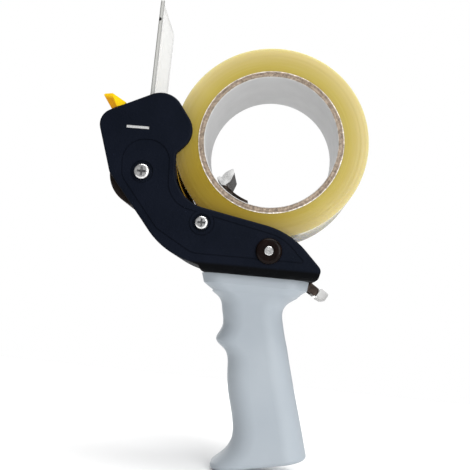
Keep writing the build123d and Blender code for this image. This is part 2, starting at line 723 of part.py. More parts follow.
with BuildPart() as thumb_bar:
    with BuildSketch(side(THUMB_HALF)):
        add(outline_face([
            (*along_tail(TAIL_REACH - 0.4, 3.6), 0.8), (*along_tail(TAIL_REACH + 5.2, 3.2), 1.2),
            (*along_tail(TAIL_REACH + 5.6, -2.0), 1.6), (*along_tail(TAIL_REACH + 1.0, -2.6), 1.0),
            (*along_tail(TAIL_REACH, -1.5), 0.6),
        ]))
    extrude(amount=2 * THUMB_HALF)
thumb_bar.part.label = "thumb_bar"
export_step(thumb_bar.part, "parts/thumb_bar.step")

with BuildPart() as lever_spring:
    coil(PIVOT_X, PIVOT_Z, LEVER_SPRING_R, LEVER_WIRE, LEVER_SPRING_Y, 6)
    with BuildSketch(Plane.XY.offset(BASE_Z + BASE_WALL)):
        with Locations((PIVOT_X - LEVER_SPRING_R, LEVER_SPRING_Y)):
            Circle(LEVER_WIRE - 0.05)
    extrude(amount=PIVOT_Z - BASE_Z - BASE_WALL)
lever_spring.part.label = "lever_spring"
export_step(lever_spring.part, "parts/lever_spring.step")

# ---- Roll of tape ----

with BuildPart() as tape_core:
    tube(ROLL_X, ROLL_Z, CORE_R, CORE_BORE_R, ROLL_Y0, ROLL_Y1)
tape_core.part.label = "tape_core"
export_step(tape_core.part, "parts/tape_core.step")

with BuildPart() as tape_windings:
    tube(ROLL_X, ROLL_Z, TAPE_R, CORE_R, ROLL_Y0, ROLL_Y1)
tape_windings.part.label = "tape_windings"
export_step(tape_windings.part, "parts/tape_windings.step")
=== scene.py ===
import math
import random

import bmesh
import bpy
from mathutils import Matrix, Vector


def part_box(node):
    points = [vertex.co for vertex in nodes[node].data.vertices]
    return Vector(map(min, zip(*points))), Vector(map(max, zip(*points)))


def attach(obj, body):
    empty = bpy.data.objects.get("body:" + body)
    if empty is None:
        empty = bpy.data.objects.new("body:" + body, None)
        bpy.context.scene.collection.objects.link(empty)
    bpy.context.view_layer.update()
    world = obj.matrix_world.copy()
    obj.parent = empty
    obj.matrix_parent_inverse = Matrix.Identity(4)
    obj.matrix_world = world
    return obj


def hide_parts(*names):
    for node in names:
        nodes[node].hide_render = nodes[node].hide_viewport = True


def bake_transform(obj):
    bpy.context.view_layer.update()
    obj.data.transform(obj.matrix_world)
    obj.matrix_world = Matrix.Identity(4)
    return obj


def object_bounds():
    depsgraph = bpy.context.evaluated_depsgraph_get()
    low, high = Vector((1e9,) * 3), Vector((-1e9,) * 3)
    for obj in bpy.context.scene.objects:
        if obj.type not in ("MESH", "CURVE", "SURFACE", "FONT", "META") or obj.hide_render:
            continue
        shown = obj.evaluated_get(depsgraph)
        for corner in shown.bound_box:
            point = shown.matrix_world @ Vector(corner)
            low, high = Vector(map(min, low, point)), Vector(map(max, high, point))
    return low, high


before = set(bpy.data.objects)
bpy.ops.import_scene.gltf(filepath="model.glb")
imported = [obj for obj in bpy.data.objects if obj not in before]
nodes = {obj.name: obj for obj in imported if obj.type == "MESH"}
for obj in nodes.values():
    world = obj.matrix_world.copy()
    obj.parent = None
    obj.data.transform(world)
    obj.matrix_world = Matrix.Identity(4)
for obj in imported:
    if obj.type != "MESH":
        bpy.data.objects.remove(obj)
cad_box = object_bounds()

MM = 0.001
MIX_FIRST, MIX_SECOND = 6, 7  # colour inputs of a Mix node
MIX_COLOUR = 2  # its colour output


# ---------------------------------------------------------------- shared places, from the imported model

def middle(node):
    low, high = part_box(node)
    return (low + high) / 2


roll_centre = middle("tape_core")
roll_low, roll_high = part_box("tape_windings")
core_low, core_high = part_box("tape_core")
TAPE_R = (roll_high.x - roll_low.x) / 2
CORE_R = (core_high.x - core_low.x) / 2
BORE_R = CORE_R - 3.6 * MM
roller_centre = middle("roller_sleeve")
flap_low, flap_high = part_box("smoothing_flap")
guard_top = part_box("blade_guard")[1].z
rod = middle("flap_rod")

# The guard's front leg leans back from straight down, and stands in front of the blade's foot
LEAN = math.radians(26.7)
LEG_OUT = Vector((-math.cos(LEAN), 0.0, -math.sin(LEAN)))
BLADE_FOOT = Vector((-88.4, 0.0, 132.5)) * MM
# The shells' turned-in base faces down and gets painted shade: near black up to the first height and in the
# body's tone from the second
BASE_SHADE_FULL, BASE_SHADE_END = 58.2 * MM, 59.6 * MM
FLAP_RIM_DEEP = 2.2 * MM
ROUND = 256  # segments round the roll
# Direction, about the roll's axis, from which the painted light on its sides falls brightest
LIT_TOWARDS = math.radians(50)


# ---------------------------------------------------------------- materials

class Finish:
    """A Principled material with helpers for procedural colour, roughness and bump.

    Texture coordinates are the object's own, which are the row frame in metres, so a scale of 1000
    makes features about a millimetre across.
    """

    def __init__(self, name, base, rough, metallic=0.0, **sockets):
        self.material = bpy.data.materials.new(name)
        self.material.use_nodes = True
        self.tree = self.material.node_tree
        self.shader = self.tree.nodes["Principled BSDF"]
        self.shader.inputs["Base Color"].default_value = (*base, 1.0)
        self.shader.inputs["Roughness"].default_value = rough
        self.shader.inputs["Metallic"].default_value = metallic
        for socket, value in sockets.items():
            self.shader.inputs[socket.replace("_", " ")].default_value = value
        self.coords = self.node("ShaderNodeTexCoord").outputs["Object"]

    def node(self, kind, **settings):
        made = self.tree.nodes.new(kind)
        for key, value in settings.items():
            setattr(made, key, value)
        return made

    def link(self, source, target):
        self.tree.links.new(source, target)

    def stretched(self, x, y, z):
        """Coordinates stretched along the axes, for brushed or drawn marks."""
        mapping = self.node("ShaderNodeMapping")
        mapping.inputs["Scale"].default_value = (x, y, z)
        self.link(self.coords, mapping.inputs["Vector"])
        return mapping.outputs["Vector"]

    def noise(self, scale, detail=3.0, roughness=0.5, vector=None):
        texture = self.node("ShaderNodeTexNoise")
        texture.inputs["Scale"].default_value = scale
        texture.inputs["Detail"].default_value = detail
        texture.inputs["Roughness"].default_value = roughness
        self.link(vector or self.coords, texture.inputs["Vector"])
        return texture.outputs["Fac"]

    def math(self, operation, first, second=0.0, third=0.0):
        """One arithmetic node over numbers or sockets."""
        made = self.node("ShaderNodeMath", operation=operation)
        for slot, value in enumerate((first, second, third)):
            if isinstance(value, (int, float)):
                made.inputs[slot].default_value = value
            else:
                self.link(value, made.inputs[slot])
        return made.outputs[0]

    def spread(self, value, low, high, out_low=0.0, out_high=1.0):
        """value from low..high mapped to out_low..out_high, held at the ends."""
        made = self.node("ShaderNodeMapRange")
        self.link(value, made.inputs["Value"])
        for socket, number in (
            ("From Min", low), ("From Max", high), ("To Min", out_low), ("To Max", out_high)
        ):
            made.inputs[socket].default_value = number
        return made.outputs["Result"]

    def ramp(self, value, stops):
        """Colour ramp over (position, (r, g, b)) stops."""
        made = self.node("ShaderNodeValToRGB")
        elements = made.color_ramp.elements
        while len(elements) < len(stops):
            elements.new(0.5)
        for element, (position, colour) in zip(elements, stops):
            element.position = position
            element.color = (*colour, 1.0)
        self.link(value, made.inputs["Fac"])
        return made.outputs["Color"]

    def blend(self, factor, first, second):
        """Mix two colours, each a socket or an (r, g, b), by a factor socket."""
        made = self.node("ShaderNodeMix", data_type="RGBA")
        self.link(factor, made.inputs[0])
        for slot, colour in ((MIX_FIRST, first), (MIX_SECOND, second)):
            if isinstance(colour, tuple):
                made.inputs[slot].default_value = (*colour, 1.0)
            else:
                self.link(colour, made.inputs[slot])
        return made.outputs[MIX_COLOUR]

    def choose(self, factor, first, second):
        """Mix two numbers by a factor socket: first is a socket, second a socket or a number."""
        made = self.node("ShaderNodeMix", data_type="FLOAT")
        self.link(factor, made.inputs[0])
        self.link(first, made.inputs[2])
        if isinstance(second, float):
            made.inputs[3].default_value = second
        else:
            self.link(second, made.inputs[3])
        return made.outputs[0]

    def shaded(self, colour, factor):
        """A colour socket times a grey factor socket."""
        grey = self.node("ShaderNodeCombineColor")
        for slot in range(3):
            self.link(factor, grey.inputs[slot])
        made = self.node("ShaderNodeMix", data_type="RGBA", blend_type="MULTIPLY")
        made.inputs[0].default_value = 1.0
        self.link(colour, made.inputs[MIX_FIRST])
        self.link(grey.outputs[0], made.inputs[MIX_SECOND])
        return made.outputs[MIX_COLOUR]

    def axes(self):
        """Sockets for x, y and z of the row frame, in metres."""
        split = self.node("ShaderNodeSeparateXYZ")
        self.link(self.coords, split.inputs[0])
        return split.outputs

    def offsets(self, x, z):
        """Sockets for the distances along X and Z from the point (x, z)."""
        parts = self.axes()
        return self.math("SUBTRACT", parts[0], x), self.math("SUBTRACT", parts[2], z)

    def radius_from(self, x, z):
        """Distance in metres from an axis along Y through (x, z)."""
        dx, dz = self.offsets(x, z)
        squares = self.math("ADD", self.math("MULTIPLY", dx, dx), self.math("MULTIPLY", dz, dz))
        return self.math("SQRT", squares)

    def angle_about(self, x, z):
        """Angle in radians about an axis along Y through (x, z)."""
        dx, dz = self.offsets(x, z)
        return self.math("ARCTAN2", dz, dx)

    def colour(self, socket):
        self.link(socket, self.shader.inputs["Base Color"])

    def rough(self, socket):
        self.link(socket, self.shader.inputs["Roughness"])

    def bump(self, height, strength, distance):
        made = self.node("ShaderNodeBump")
        made.inputs["Strength"].default_value = strength
        made.inputs["Distance"].default_value = distance
        self.link(height, made.inputs["Height"])
        self.link(made.outputs["Normal"], self.shader.inputs["Normal"])


def paint(obj, finish):
    obj.data.materials.clear()
    obj.data.materials.append(finish.material)


def moulded_black():
    """Navy-black ABS: a fine mould texture, uneven in tone, and painted shade that darkens it along the
    down-facing turned-in base.
    """
    f = Finish("moulded_black", (0.003, 0.005, 0.010), 0.5, Specular_IOR_Level=0.06)
    body = f.ramp(f.noise(60, 4), [(0.3, (0.0024, 0.0042, 0.0092)), (0.7, (0.0042, 0.0062, 0.0128))])
    # Painted shade: the down-facing base darkened towards near black
    base = f.spread(f.axes()[2], BASE_SHADE_FULL, BASE_SHADE_END, 0.12, 1.0)
    f.colour(f.shaded(body, base))
    f.rough(f.spread(f.noise(140, 3), 0.3, 0.7, 0.5, 0.65))
    grain = f.math("ADD", f.noise(1500, 2), f.math("MULTIPLY", f.noise(420, 3), 1.6))
    f.bump(grain, 0.5, 0.22 * MM)
    return f


def grip_grey():
    """Light blue-grey satin plastic with a faint cloudiness."""
    f = Finish("grip_grey", (0.36, 0.40, 0.44), 0.45, Specular_IOR_Level=0.3)
    f.colour(f.ramp(f.noise(35, 3), [(0.25, (0.345, 0.385, 0.425)), (0.75, (0.385, 0.425, 0.462))]))
    f.rough(f.spread(f.noise(90, 2), 0.3, 0.7, 0.42, 0.55))
    f.bump(f.noise(1800, 2), 0.12, 0.00008)
    return f


def bright_zinc():
    """Zinc-plated screws: bright, a little mottled, with painted shade down in the driver recesses."""
    f = Finish("bright_zinc", (0.80, 0.80, 0.79), 0.26, 1.0)
    plate = f.ramp(f.noise(450, 3), [(0.35, (0.66, 0.66, 0.66)), (0.65, (0.90, 0.90, 0.89))])
    depth = f.axes()[1]
    # Painted shade: the driver recesses darkened where shade falls in them
    recess_shade = []
    for node, reach in (("roller_axle", 2.8 * MM), ("body_bolt", 2.4 * MM)):
        centre = middle(node)
        head_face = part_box(node)[0].y
        near = f.spread(f.radius_from(centre.x, centre.z), reach, reach + 0.1 * MM, 1.0, 0.0)
        sunk = f.spread(depth, head_face + 0.15 * MM, head_face + 0.9 * MM)
        recess_shade.append(f.math("MULTIPLY", near, sunk))
    painted_shade = f.math("MULTIPLY", f.math("MAXIMUM", *recess_shade), 0.8)
    f.colour(f.blend(painted_shade, plate, (0.06, 0.06, 0.065)))
    f.rough(f.spread(f.noise(700, 3), 0.3, 0.7, 0.18, 0.36))
    f.bump(f.noise(1100, 2), 0.06, 0.0001)
    return f


def lever_nickel():
    """Nickel-plated pressed steel with faint drawing lines."""
    f = Finish("lever_nickel", (0.70, 0.69, 0.68), 0.26, 1.0)
    lines = f.noise(90, 2, vector=f.stretched(1, 3, 1))
    f.colour(f.ramp(lines, [(0.3, (0.62, 0.61, 0.60)), (0.7, (0.74, 0.74, 0.73))]))
    f.rough(f.spread(lines, 0.3, 0.7, 0.2, 0.34))
    f.bump(lines, 0.04, 0.0002)
    return f


def shaded_lever_steel():
    """The lever's pressed steel painted dark for the shade and dark reflections it sits in, with lighter
    brown streaks along its drawing lines and a painted highlight on the near cut edge of the shoe's lip.
    """
    # Painted shade: a dark copy of the lever's steel, for the parts that sit in shade and reflect dark
    # surroundings
    f = Finish("shaded_lever_steel", (0.05, 0.04, 0.035), 0.32, 0.85)
    lines = f.noise(240, 3, vector=f.stretched(1, 9, 1))
    brown_streaks = f.spread(lines, 0.45, 0.8, 0.0, 0.6)
    body = f.blend(brown_streaks, (0.030, 0.022, 0.018), (0.17, 0.13, 0.11))
    shoe_low, shoe_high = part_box("lever_shoe")
    lip_foot = shoe_high.z - 10.1 * MM
    # Painted highlight: the near cut edge of the shoe's lip drawn near white, where it catches the light
    lip_highlight = f.spread(f.axes()[1], shoe_low.y + 0.2 * MM, shoe_low.y + 0.5 * MM, 1.0, 0.0)
    lip = f.spread(f.axes()[2], lip_foot - 0.3 * MM, lip_foot + 0.3 * MM)
    f.colour(f.blend(f.math("MULTIPLY", lip_highlight, lip), body, (0.95, 0.95, 0.94)))
    f.rough(f.spread(lines, 0.3, 0.7, 0.22, 0.42))
    f.bump(lines, 0.08, 0.0002)
    return f


def sheet_steel():
    """Cold-rolled sheet with marks along its width."""
    f = Finish("sheet_steel", (0.80, 0.81, 0.82), 0.36, 0.55)
    lines = f.noise(500, 3, vector=f.stretched(6, 0.4, 6))
    f.colour(f.ramp(lines, [(0.3, (0.76, 0.77, 0.78)), (0.7, (0.95, 0.95, 0.95))]))
    f.rough(f.spread(lines, 0.3, 0.7, 0.2, 0.42))
    f.bump(lines, 0.1, 0.0001)
    return f


def blade_steel():
    """Ground blade steel, marked across its width."""
    f = Finish("blade_steel", (0.66, 0.67, 0.69), 0.24, 1.0)
    lines = f.noise(700, 2, vector=f.stretched(1, 10, 1))
    f.rough(f.spread(lines, 0.3, 0.7, 0.16, 0.36))
    f.colour(f.ramp(lines, [(0.3, (0.55, 0.56, 0.58)), (0.7, (0.75, 0.76, 0.78))]))
    f.bump(lines, 0.1, 0.0001)
    return f


def spring_steel():
    """Grey drawn spring wire."""
    f = Finish("spring_steel", (0.32, 0.32, 0.33), 0.35, 1.0)
    f.colour(f.ramp(f.noise(1500, 2), [(0.3, (0.22, 0.22, 0.23)), (0.7, (0.42, 0.42, 0.43))]))
    f.rough(f.spread(f.noise(900, 2), 0.3, 0.7, 0.25, 0.45))
    return f


def cap_brown():
    """Glossy brown-black pressed cap."""
    f = Finish("cap_brown", (0.006, 0.003, 0.002), 0.3, Specular_IOR_Level=0.1)
    f.colour(f.ramp(f.noise(300, 2), [(0.3, (0.0025, 0.0012, 0.001)), (0.7, (0.008, 0.0035, 0.0028))]))
    f.rough(f.spread(f.noise(700, 3), 0.3, 0.7, 0.22, 0.38))
    f.bump(f.noise(500, 2), 0.08, 0.0002)
    return f


def guard_yellow():
    """Soft yellow plastic, with painted shade in amber on the end of the leg in front of the blade, fading
    out towards its top.
    """
    f = Finish("guard_yellow", (0.95, 0.62, 0.0), 0.4, Specular_IOR_Level=0.3)
    parts = f.axes()
    ahead = f.math("ADD", f.math("MULTIPLY", parts[0], LEG_OUT.x), f.math("MULTIPLY", parts[2], LEG_OUT.z))
    blade_plane = BLADE_FOOT.dot(LEG_OUT)
    # Painted shade: the front leg's end, which lies in shadow, drawn amber, less so near the top
    front = f.spread(ahead, blade_plane - 0.9 * MM, blade_plane - 0.2 * MM)
    height = f.spread(parts[2], guard_top - 3.2 * MM, guard_top - 1.0 * MM, 1.0, 0.25)
    bright = f.ramp(f.noise(120, 2), [(0.3, (0.98, 0.62, 0.0)), (0.7, (1.0, 0.74, 0.004))])
    f.colour(f.blend(f.math("MULTIPLY", front, height), bright, (0.56, 0.25, 0.0)))
    f.rough(f.spread(f.noise(500, 2), 0.3, 0.7, 0.34, 0.5))
    f.bump(f.noise(1500, 2), 0.1, 0.00008)
    return f


def flap_clear():
    """Clear plastic sheet, a little greyer where it is rubbed and along its cut edges."""
    f = Finish("flap_clear", (0.86, 0.86, 0.85), 0.3, Specular_IOR_Level=0.2, Alpha=0.36)
    parts = f.axes()
    edge_from, edge_to = 0.35 * MM, 0.15 * MM
    cut_side = f.spread(parts[1], flap_high.y - edge_from, flap_high.y - edge_to)
    cut_top = f.spread(parts[2], flap_high.z - edge_from, flap_high.z - edge_to)
    rubbed = f.ramp(f.noise(25, 2), [(0.3, (0.84, 0.84, 0.83)), (0.75, (0.87, 0.87, 0.86))])
    foot = f.spread(parts[2], flap_low.z, flap_low.z + 45 * MM, 0.80, 1.0)
    edges = f.math("MAXIMUM", cut_side, cut_top)
    f.colour(f.blend(edges, f.shaded(rubbed, foot), (0.30, 0.30, 0.29)))
    f.rough(f.spread(f.noise(30, 2), 0.3, 0.75, 0.28, 0.36))
    return f


def flap_rim():
    """The flap's thickened near edge, dark at its outer corner and where it meets the sheet."""
    f = Finish("flap_rim", (0.5, 0.5, 0.48), 0.35, Specular_IOR_Level=0.3)
    across = f.spread(f.axes()[0], flap_low.x, flap_low.x + FLAP_RIM_DEEP)
    body = f.ramp(across, [
        (0.0, (0.22, 0.22, 0.21)), (0.2, (0.24, 0.24, 0.23)), (0.32, (0.50, 0.50, 0.48)),
        (0.78, (0.52, 0.52, 0.50)), (0.9, (0.30, 0.30, 0.29)), (1.0, (0.30, 0.30, 0.29)),
    ])
    # A speck of dirt caught in the moulding near the top
    from_speck = f.radius_from(flap_low.x + 0.6 * MM, flap_high.z - 12.0 * MM)
    speck = f.spread(from_speck, 0.8 * MM, 1.3 * MM, 1.0, 0.0)
    f.colour(f.blend(speck, body, (0.01, 0.01, 0.01)))
    f.rough(f.spread(f.noise(500, 2), 0.3, 0.7, 0.28, 0.45))
    return f


def roller_rubber():
    """Dark ground rubber with fine turning lines round it."""
    f = Finish("roller_rubber", (0.014, 0.010, 0.008), 0.75, Specular_IOR_Level=0.12)
    turning = f.noise(450, 3, vector=f.stretched(0.05, 1, 0.05))
    f.colour(f.ramp(turning, [(0.3, (0.009, 0.006, 0.005)), (0.7, (0.022, 0.015, 0.012))]))
    f.rough(f.spread(f.noise(400, 3), 0.3, 0.7, 0.62, 0.82))
    f.bump(turning, 0.15, 0.0002)
    return f


def plain_plastic(name, low, high, rough):
    """Undyed moulded plastic for the hidden pieces."""
    f = Finish(name, high, rough)
    f.colour(f.ramp(f.noise(200, 3), [(0.3, low), (0.7, high)]))
    f.rough(f.spread(f.noise(350, 3), 0.3, 0.7, rough - 0.08, rough + 0.1))
    f.bump(f.noise(1800, 2), 0.1, 0.0001)
    return f


def core_board():
    """Wound board core: pale liner inside, kraft plies on the cut face, white paper at both rims."""
    f = Finish("core_board", (0.6, 0.5, 0.38), 0.85, Specular_IOR_Level=0.2)
    radius = f.radius_from(roll_centre.x, roll_centre.z)
    polar = f.node("ShaderNodeCombineXYZ")
    round_it = f.math("MULTIPLY", f.angle_about(roll_centre.x, roll_centre.z), 0.04)
    f.link(round_it, polar.inputs[0])
    f.link(radius, polar.inputs[1])
    f.link(f.axes()[1], polar.inputs[2])
    ragged = f.noise(260, 4, 0.6, vector=polar.outputs[0])
    wander = f.spread(ragged, 0.25, 0.75, -0.07, 0.07)
    across = f.math("ADD", f.spread(radius, BORE_R, CORE_R), wander)
    plies = f.ramp(across, [
        (0.0, (0.56, 0.56, 0.55)), (0.05, (0.62, 0.60, 0.57)), (0.14, (0.27, 0.21, 0.16)),
        (0.45, (0.36, 0.29, 0.225)), (0.60, (0.25, 0.19, 0.145)), (0.84, (0.30, 0.235, 0.18)),
        (0.93, (0.86, 0.81, 0.76)), (1.0, (0.92, 0.88, 0.84)),
    ])
    inside = f.spread(radius, BORE_R + 0.1 * MM, BORE_R + 0.4 * MM)
    fibres = f.noise(620, 4, 0.7)
    torn = f.spread(fibres, 0.35, 0.68, 0.55, 1.5)
    calm = f.spread(f.noise(90, 2), 0.3, 0.7, 0.96, 1.03)
    board = f.blend(inside, (0.58, 0.58, 0.58), plies)
    f.colour(f.shaded(board, f.choose(inside, calm, torn)))
    f.bump(f.math("MULTIPLY", fibres, inside), 0.5, 0.0003)
    return f


def tape_film():
    """Wound clear film: mustard through its depth, paler towards the rim, with faint rings on its sides.

    The sides also carry painted light and shade round the roll: dark amber on the shaded side, pale on the
    lit side.
    """
    f = Finish("tape_film", (0.50, 0.40, 0.09), 0.35, Specular_IOR_Level=0.3)
    radius = f.radius_from(roll_centre.x, roll_centre.z)
    depth = f.spread(radius, CORE_R, TAPE_R)
    rings = f.node("ShaderNodeCombineXYZ")
    round_it = f.math("MULTIPLY", f.angle_about(roll_centre.x, roll_centre.z), 0.02)
    f.link(f.math("MULTIPLY", radius, 30.0), rings.inputs[0])
    f.link(round_it, rings.inputs[1])
    winding = f.noise(60, 4, 0.6, vector=rings.outputs[0])
    shaded_film = f.ramp(depth, [
        (0.0, (0.30, 0.205, 0.012)), (0.6, (0.25, 0.170, 0.014)), (1.0, (0.175, 0.110, 0.010)),
    ])
    lit_film = f.ramp(depth, [
        (0.0, (0.44, 0.335, 0.058)), (0.2, (0.46, 0.360, 0.068)), (0.6, (0.50, 0.405, 0.135)),
        (0.9, (0.57, 0.480, 0.220)), (1.0, (0.61, 0.54, 0.29)),
    ])
    # Painted light and shade: the sides go from shaded dark amber to lit pale across the roll
    dx, dz = f.offsets(roll_centre.x, roll_centre.z)
    along = f.math(
        "ADD", f.math("MULTIPLY", dx, math.cos(LIT_TOWARDS)), f.math("MULTIPLY", dz, math.sin(LIT_TOWARDS))
    )
    painted_light = f.spread(f.math("DIVIDE", along, radius), -0.95, -0.1)
    base = f.blend(painted_light, shaded_film, lit_film)
    faint = f.math("MULTIPLY", f.spread(winding, 0.45, 0.75, 0.02, 0.12), painted_light)
    sides = f.blend(faint, base, (0.74, 0.68, 0.40))
    # The outermost turn is paler and glossier than the sides
    outside = f.spread(radius, TAPE_R - 0.12 * MM, TAPE_R - 0.03 * MM)
    f.colour(f.blend(outside, sides, (0.78, 0.74, 0.60)))
    f.rough(f.choose(outside, f.spread(winding, 0.3, 0.7, 0.3, 0.42), 0.16))
    f.link(f.math("MULTIPLY_ADD", outside, 0.4, 0.3), f.shader.inputs["Specular IOR Level"])
    f.shader.inputs["Subsurface Weight"].default_value = 0.35
    f.shader.inputs["Subsurface Radius"].default_value = (0.012, 0.010, 0.004)
    f.shader.inputs["Subsurface Scale"].default_value = 1.0
    f.bump(f.math("MULTIPLY", winding, painted_light), 0.05, 0.0003)
    return f


def strip_film():
    """A single thickness of film: dark amber, with cloudy patches in its adhesive."""
    f = Finish("strip_film", (0.42, 0.26, 0.04), 0.7, Specular_IOR_Level=0.05)
    f.colour(f.ramp(f.noise(70, 3), [(0.3, (0.30, 0.17, 0.020)), (0.7, (0.52, 0.34, 0.05))]))
    f.rough(f.spread(f.noise(200, 3), 0.3, 0.7, 0.6, 0.8))
    return f


# ---------------------------------------------------------------- mesh helpers

def new_object(name, mesh):
    obj = bpy.data.objects.new(name, mesh)
    bpy.context.scene.collection.objects.link(obj)
    return obj


def smooth(obj, angle):
    """Smooth shading that keeps edges sharper than angle."""
    for face in obj.data.polygons:
        face.use_smooth = True
    obj.data.set_sharp_from_angle(angle=math.radians(angle))


def finished(name, mesh, bevel=0.0):
    """Object from a bmesh, with outward normals and, where bevel is given, softened edges."""
    bmesh.ops.recalc_face_normals(mesh, faces=mesh.faces)
    data = bpy.data.meshes.new(name)
    mesh.to_mesh(data)
    mesh.free()
    obj = new_object(name, data)
    if bevel > 0.0:
        softener = obj.modifiers.new("softener", "BEVEL")
        softener.width = bevel
        softener.segments = 3
        softener.angle_limit = math.radians(40)
    return obj


def around(centre, radius, turn):
    """x and z of the point at radius and angle turn from an axis along Y through centre."""
    return centre.x + radius * math.cos(turn), centre.z + radius * math.sin(turn)


def skin(mesh, rings, looped=False):
    """Faces between one ring of vertices and the next, back to the first if looped, else with end caps."""
    count = len(rings[0])
    following = rings[1:] + rings[:1] if looped else rings[1:]
    for here, there in zip(rings, following):
        for k in range(count):
            after = (k + 1) % count
            mesh.faces.new((here[k], here[after], there[after], there[k]))
    if not looped:
        mesh.faces.new(rings[0])
        mesh.faces.new(rings[-1][::-1])


def lathe(name, centre, profile, segments):
    """Closed ring about an axis along Y through centre, from (radius, y) points in metres."""
    mesh = bmesh.new()
    rings = []
    for step in range(segments):
        turn = 2 * math.pi * step / segments
        ring = []
        for radius, y in profile:
            x, z = around(centre, radius, turn)
            ring.append(mesh.verts.new((x, y, z)))
        rings.append(ring)
    skin(mesh, rings, looped=True)
    return finished(name, mesh)


def slab(mesh, outline, x0, x1):
    """Closed slab between x0 and x1 over a (y, z) outline, added to a bmesh."""
    front = [mesh.verts.new((x0, y, z)) for y, z in outline]
    back = [mesh.verts.new((x1, y, z)) for y, z in outline]
    skin(mesh, [front, back])


def sweep_wire(name, path, wire):
    """Round wire of radius wire along a list of points, closed at its ends."""
    sides = 12
    mesh = bmesh.new()
    rings = []
    across = Vector((0.3, 1.0, 0.2))
    for k, point in enumerate(path):
        ahead = (path[min(k + 1, len(path) - 1)] - path[max(k - 1, 0)]).normalized()
        across = (across - ahead * across.dot(ahead)).normalized()
        other = ahead.cross(across)
        ring = []
        for step in range(sides):
            turn = 2 * math.pi * step / sides
            ring.append(mesh.verts.new(point + wire * (math.cos(turn) * across + math.sin(turn) * other)))
        rings.append(ring)
    skin(mesh, rings)
    obj = finished(name, mesh)
    smooth(obj, 50)
    return obj


# ---------------------------------------------------------------- pieces

def tape_windings():
    """Wound film with side faces a hair uneven, as the turns wander, and a softened rim."""
    random.seed(7)
    y0, y1 = roll_low.y, roll_high.y
    bands = 22
    near, far = [], []
    for k in range(bands + 1):
        radius = CORE_R + (TAPE_R - CORE_R) * k / bands
        lift = 0.0 if k in (0, bands) else random.uniform(0.0, 0.12) * MM
        near.append((radius, y0 + lift))
        far.append((radius, y1 - lift))
    rim, shoulder = 0.35 * MM, 0.12 * MM
    near[-1] = (TAPE_R - rim, y0 + 0.02 * MM)
    far[-1] = (TAPE_R - rim, y1 - 0.02 * MM)
    profile = near + [(TAPE_R - 0.08 * MM, y0 + shoulder), (TAPE_R, y0 + rim)]
    profile += [(TAPE_R, y1 - rim), (TAPE_R - 0.08 * MM, y1 - shoulder)] + far[::-1]
    roll = lathe("wound_film", roll_centre, profile, ROUND)
    smooth(roll, 30)
    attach(roll, "tape_roll")
    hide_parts("tape_windings")
    paint(roll, tape_film())


def tape_core():
    """Board core with a slightly frayed, rounded cut edge."""
    random.seed(11)
    y0, y1 = core_low.y, core_high.y
    soft, outer_soft = 0.3 * MM, 0.2 * MM
    steps = 8
    near = [(BORE_R + soft, y0)]
    for k in range(1, steps):
        near.append((BORE_R + (CORE_R - BORE_R) * k / steps, y0 + random.uniform(0.0, 0.10) * MM))
    near.append((CORE_R - outer_soft, y0))
    far = [(radius, y1 - (y - y0)) for radius, y in near]
    profile = [(BORE_R, y0 + soft)] + near + [(CORE_R, y0 + outer_soft), (CORE_R, y1 - outer_soft)]
    profile += far[::-1] + [(BORE_R, y1 - soft)]
    core = lathe("board_core", roll_centre, profile, ROUND)
    smooth(core, 30)
    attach(core, "tape_roll")
    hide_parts("tape_core")
    paint(core, core_board())


def smoothing_flap():
    """Clear sheet with a rounded far top corner, a foot rolled round the rod and a thickened near edge."""
    y0, y1, top = flap_low.y, flap_high.y, flap_high.z
    thick = 1.2 * MM
    rim_wide = 1.2 * MM
    foot_out, foot_in = 3.0 * MM, 1.6 * MM
    corner, arc_steps = 3.5 * MM, 8
    sheet_foot, rim_foot = rod.z + foot_in, rod.z + 2.2 * MM

    outline = [(y0 + rim_wide, sheet_foot), (y1, sheet_foot)]
    for step in range(arc_steps + 1):
        turn = math.pi / 2 * step / arc_steps
        outline.append((y1 - corner + corner * math.cos(turn), top - corner + corner * math.sin(turn)))
    outline.append((y0 + rim_wide, top))
    mesh = bmesh.new()
    slab(mesh, outline, flap_low.x, flap_low.x + thick)
    sheet = finished("flap_sheet", mesh, 0.2 * MM)

    foot = lathe("flap_foot", rod, [(foot_in, y0), (foot_out, y0), (foot_out, y1), (foot_in, y1)], 64)
    smooth(foot, 40)

    outline = [
        (y0, rim_foot), (y0 + rim_wide, rim_foot), (y0 + rim_wide, top), (y0 + 0.4 * rim_wide, top),
        (y0, top - 0.6 * rim_wide),
    ]
    mesh = bmesh.new()
    slab(mesh, outline, flap_low.x, flap_low.x + FLAP_RIM_DEEP)
    rim = finished("flap_rim", mesh, 0.25 * MM)

    clear = flap_clear()
    for piece, finish in ((sheet, clear), (foot, clear), (rim, flap_rim())):
        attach(piece, "flap")
        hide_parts("smoothing_flap")
        paint(piece, finish)


